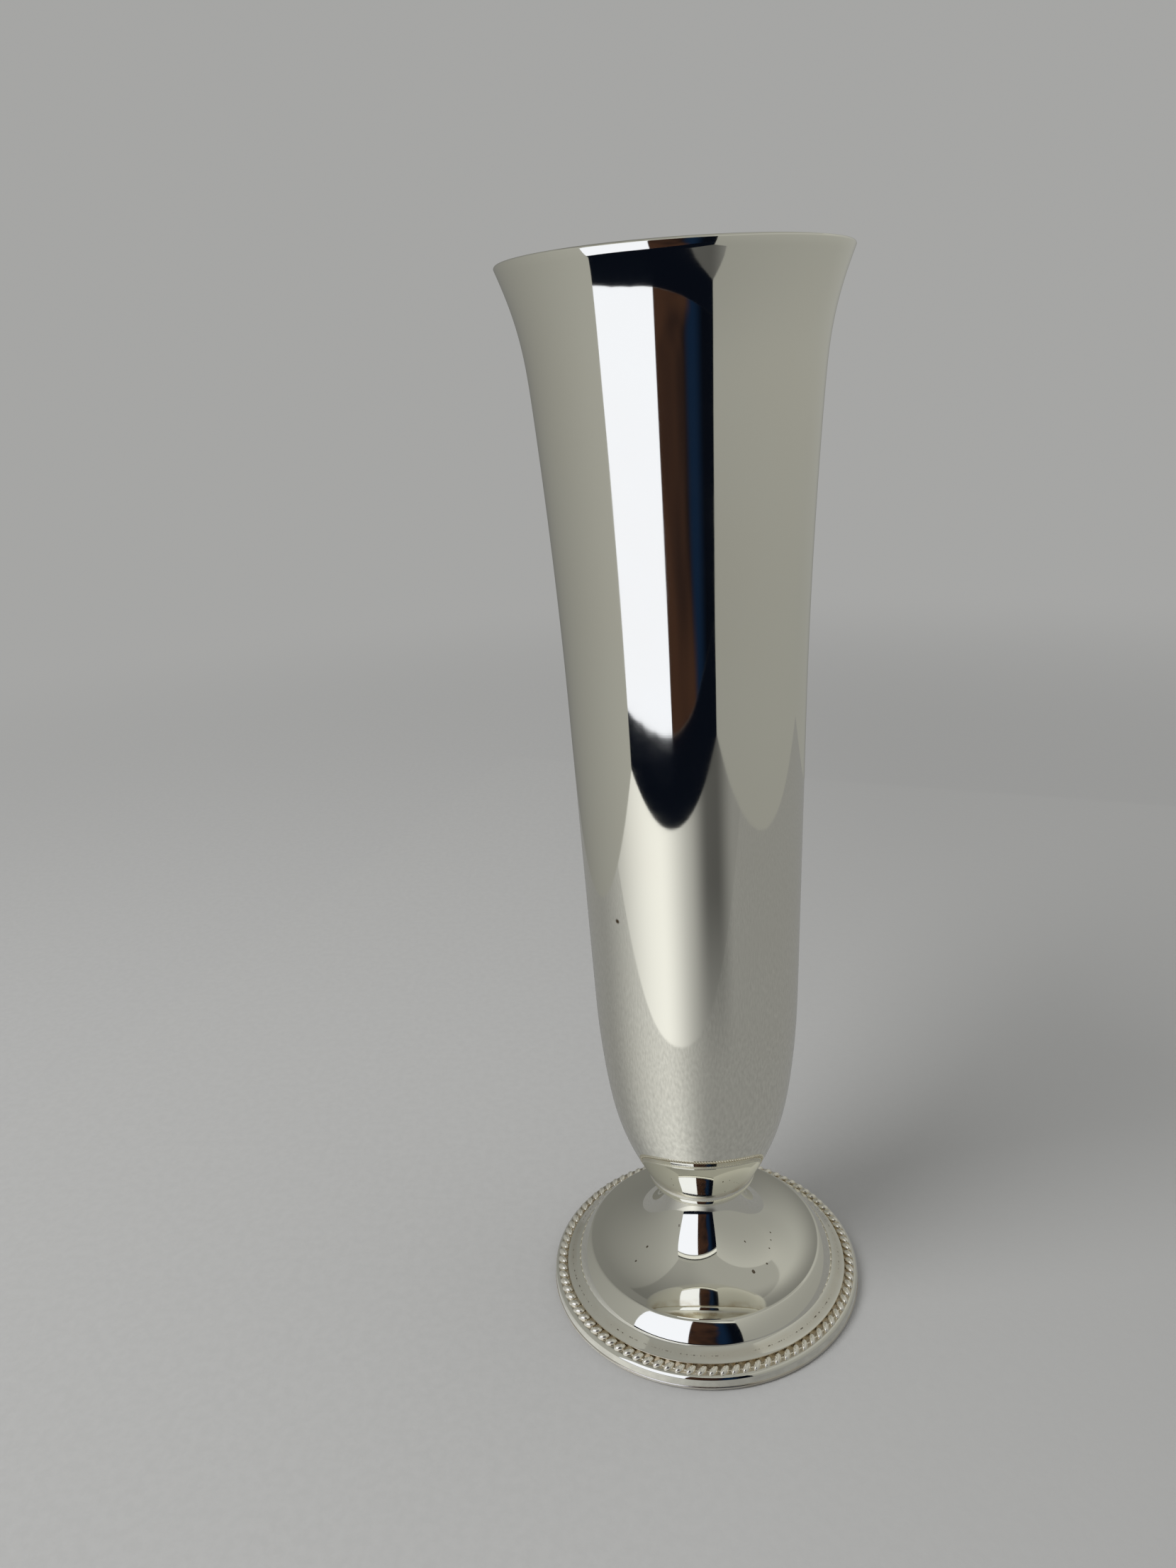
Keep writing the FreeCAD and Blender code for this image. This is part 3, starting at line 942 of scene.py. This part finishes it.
paleFloor = {
    "colour": (0.47, 0.47, 0.465),
    "roughness": 0.75,
    "grainShare": 0.96,              # of the colour, in the dark of the grain
    "rightShadeShare": 0.88,              # painted shade: the colour's share to the right, as if further from the window
    "rightShadeFrom": (-90.0, 130.0),
    "backdropFrom": (250.0, 900.0),  # distance over which the floor turns into the backdrop
    # painted reflection: reflections see a glow, not the lit floor: a cloth with a straight edge in
    # front, with painted sheen bright towards the window
    "sheenColour": (1.0, 1.0, 0.97),
    "clothEdge": -126.0,
    "clothSoftness": 1.5,
    "windowTurn": (-112.0, -30.0),   # where the sheen towards the window is none and full
    "rightTurn": (28.0, -32.0),
    "bareSheen": 0.68,
    "clothSheen": (0.2, 0.54),
    "barePlain": 0.235,
    "clothPlain": (0.18, 0.33),
    "dimShare": 0.15,                # taken off a strip to the right of the front
    "dimTurn": (20.0, 4.0, 18.0),    # its middle, reach and edge
    "dimFrom": (90.0, 250.0),
}


def floorShader():
    f = paleFloor
    shader = Shader("paleFloor")
    at = shader.place()
    grainDark, rightPaintedShade = (tuple(c * share for c in f["colour"])
                            for share in (f["grainShare"], f["rightShadeShare"]))
    grain = shader.noise(at.coordinates, scale=420.0, detail=3.0, roughness=0.6)
    colour = shader.mix(shader.ramp(grain, low=0.3, high=0.7), grainDark, f["colour"])
    # painted shade: the floor's colour darkens towards the right
    colour = shader.mix(shader.ramp(at.x, *f["rightShadeFrom"], mm), colour, rightPaintedShade)
    cloth = shader.skin(colour, f["roughness"], shader.bump(grain, strength=0.25, depth=0.3))
    backdrop = shader.glow(studio["backColour"])
    surface = shader.either(shader.ramp(at.radius, *f["backdropFrom"], mm), cloth, backdrop)
    # painted sheen and painted shade for reflections only: a glow bright towards the window, dimmed on a
    # strip right of the front
    along = tentPlace(shader, at.coordinates)[1]
    edge, softness = f["clothEdge"], f["clothSoftness"]
    onCloth = shader.ramp(along, edge - softness, edge + softness, mm)
    fromRight = shader.ramp(at.angle, *f["rightTurn"], degree)
    fromRight = shader.math("MULTIPLY", fromRight, fromRight)
    toWindow = shader.math("MULTIPLY", shader.ramp(at.angle, *f["windowTurn"], degree), fromRight)
    cells = shader.noise(at.coordinates, scale=260.0, detail=3.0, roughness=0.6)
    bright = shader.blend(onCloth, f["bareSheen"], shader.blend(cells, *f["clothSheen"]))
    bright = shader.math("MULTIPLY", toWindow, bright)
    plain = shader.blend(onCloth, f["barePlain"], shader.blend(cells, *f["clothPlain"]))
    dim = shader.math("MULTIPLY", shader.band(at.angle, *f["dimTurn"], degree),
                      shader.ramp(at.radius, *f["dimFrom"], mm))
    strength = shader.math("MULTIPLY_ADD", dim, -f["dimShare"], shader.math("ADD", bright, plain))
    sheen = shader.glow(f["sheenColour"], strength)
    reflected = shader.node("LightPath").outputs["Is Glossy Ray"]
    return shader.finish(shader.either(reflected, surface, sheen))


tentWall = {
    "colour": (1.0, 1.0, 0.93),
    "sides": (-100.0, 100.0),        # across the tent, where its left ends and its right begins
    "backGlow": (0.18, 0.32),        # to the left and right
    "frontGlow": (0.37, 0.31),
    "lowShare": 0.95,                # of that glow, at the floor
    "topShare": (1.05, 1.4),         # and at the top, to the left and right
    "roofShare": 0.76,
    "roofDrop": (15.0, 2.0),         # below the top, where the roof's shade starts and is full
}


def wallShader():
    # the window lights the left side most near the opening
    w = tentWall
    top = studio["tentHeight"]
    shader = Shader("tentCloth")
    at = shader.place()
    across, along = tentPlace(shader, at.coordinates)
    near = shader.ramp(along, studio["tentBack"], studio["tentFront"], mm)
    side = shader.ramp(across, *w["sides"], mm)
    back = shader.blend(side, *w["backGlow"])
    strength = shader.blend(near, back, shader.blend(side, *w["frontGlow"]))
    up = shader.ramp(at.height, 0.0, top, mm)
    share = shader.blend(up, w["lowShare"], shader.blend(side, *w["topShare"]))
    strength = shader.math("MULTIPLY", strength, share)
    roof = shader.ramp(at.height, *(top - drop for drop in w["roofDrop"]), mm)
    strength = shader.math("MULTIPLY", strength, shader.blend(roof, 1.0, w["roofShare"]))
    return shader.finish(shader.glow(w["colour"], strength))


tentFront = {
    "hemColour": (0.3, 0.3, 0.28),
    "hemTop": (383.0, 386.0),
    "clothColour": (0.75, 0.75, 0.7),
    "bandColour": (0.06, 0.06, 0.055),
    "bandHeight": (450.0, 12.0, 4.0),    # its middle, reach and edge
    "topColour": (0.33, 0.33, 0.3),
    "topFrom": (450.0, 470.0),
}


def frontShader():
    # over the opening, from below: a grey hem, white cloth, a dark band and grey cloth
    f = tentFront
    shader = Shader("tentFrontCloth")
    height = shader.place().height
    colour = shader.mix(shader.ramp(height, *f["hemTop"], mm), f["hemColour"], f["clothColour"])
    colour = shader.mix(shader.ramp(height, *f["topFrom"], mm), colour, f["topColour"])
    colour = shader.mix(shader.band(height, *f["bandHeight"], mm), colour, f["bandColour"])
    return shader.finish(shader.glow(colour))


room = {
    "windowColour": (0.97, 1.0, 1.12),
    "windowTo": -14.0,
    "windowSoftness": 0.3,
    "warmColours": ((0.045, 0.022, 0.014), (0.012, 0.008, 0.008)),
    "warmTo": 9.0,
    "warmSoftness": 3.0,
    "warmWander": 8.0,
    "blueColour": (0.005, 0.014, 0.036),
    "darkColour": (0.002, 0.003, 0.006),
    "darkFrom": (12.0, 20.0),
}


def roomShader():
    # what the opening shows: a bright window to the left, then warm dusk, then blue, then dark
    r = room
    shader = Shader("roomGlow")
    at = shader.place()
    wander = shader.noise(at.coordinates, scale=6.0)
    shift = shader.math("MULTIPLY_ADD", wander, r["warmWander"] * degree, -r["warmWander"] / 2 * degree)
    end, softness = r["windowTo"], r["windowSoftness"]
    pastWindow = shader.ramp(at.angle, end - softness, end + softness, degree)
    end, softness = r["warmTo"], r["warmSoftness"]
    pastWarm = shader.ramp(shader.math("ADD", at.angle, shift), end - softness, end + softness, degree)
    warm = shader.mix(shader.ramp(wander, low=0.35, high=0.7), *r["warmColours"])
    blue = shader.mix(shader.ramp(at.angle, *r["darkFrom"], degree), r["blueColour"], r["darkColour"])
    colour = shader.mix(pastWindow, r["windowColour"], shader.mix(pastWarm, warm, blue))
    return shader.finish(shader.glow(colour))


def shadeShader():
    shader = Shader("shade")
    return shader.finish(shader.glow(studio["shadeColour"], studio["shadeStrength"]))


def makeStudio():
    s = studio
    half, lift = s["floorHalf"], s["wallLift"]
    left, right, back, front, top = (s[k] for k in
                                     ("tentLeft", "tentRight", "tentBack", "tentFront", "tentHeight"))

    def frontWall(low, high):
        return [tentPoint(u, front, z)
                for u, z in ((left, low), (right, low), (right, high), (left, high))]

    stagePiece("floor", [(-half, -half, 0), (half, -half, 0), (half, half, 0), (-half, half, 0)],
               [(0, 1, 2, 3)], floorShader(), onlyReflected=False)
    corners = [tentPoint(u, v, z) for z in (lift, top)
               for u, v in ((left, front), (left, back), (right, back), (right, front))]
    stagePiece("tent", corners, [(0, 1, 5, 4), (1, 2, 6, 5), (2, 3, 7, 6), (4, 5, 6, 7)], wallShader())
    stagePiece("tentFront", frontWall(s["openingHeight"], top), [(0, 1, 2, 3)], frontShader())
    # a dark threshold crosses the opening's foot, then comes floor in shade, then the room
    shade = shadeShader()
    stagePiece("threshold", frontWall(lift, s["thresholdHeight"]), [(0, 1, 2, 3)], shade)
    line = s["roomLine"]
    shaded = [(line[0][0], front), *line, (line[-1][0], front)]
    beyond = [tentPoint(u, v, s["shadeLift"]) for u, v in shaded]
    stagePiece("shadedFloor", beyond, [tuple(range(len(beyond)))], shade)
    count = len(line)
    walls = [tentPoint(u, v, z) for z in (lift, s["roomHeight"]) for u, v in line]
    faces = [(i, i + 1, i + 1 + count, i + count) for i in range(count - 1)]
    stagePiece("room", walls, faces, roomShader())


lamps = {
    "keyLight": {"place": (-700.0, -500.0, 1100.0), "size": 700.0, "power": 11.0},
    "fillLight": {"place": (700.0, 200.0, 1200.0), "size": 1400.0, "power": 3.0},
}
lampAim = Vector((0, 0, 80 * mm))


def makeLights():
    for name, lamp in lamps.items():
        data = bpy.data.lights.new(name, "AREA")
        data.shape = "DISK"
        data.size = lamp["size"] * mm
        data.energy = lamp["power"]
        light = bpy.data.objects.new(name, data)
        light.location = Vector(lamp["place"]) * mm
        light.rotation_euler = (lampAim - light.location).to_track_quat("-Z", "Y").to_euler()
        light.visible_glossy = False
        scene.collection.objects.link(light)


def makeWorld():
    # the camera sees the backdrop's colour, and reflections see next to nothing
    world = bpy.data.worlds.new("studioAir")
    world.use_nodes = True
    tree = world.node_tree
    tree.nodes.clear()
    mix = tree.nodes.new("ShaderNodeMixShader")
    for slot, colour, strength in ((1, studio["backColour"], 1.0),
                                   (2, studio["airColour"], studio["airStrength"])):
        seen = tree.nodes.new("ShaderNodeBackground")
        seen.inputs["Color"].default_value = (*colour, 1)
        seen.inputs["Strength"].default_value = strength
        tree.links.new(seen.outputs[0], mix.inputs[slot])
    path = tree.nodes.new("ShaderNodeLightPath")
    tree.links.new(path.outputs["Is Glossy Ray"], mix.inputs[0])
    output = tree.nodes.new("ShaderNodeOutputWorld")
    tree.links.new(mix.outputs[0], output.inputs["Surface"])
    scene.world = world


makeStudio()
makeLights()
makeWorld()
print("studio ready")
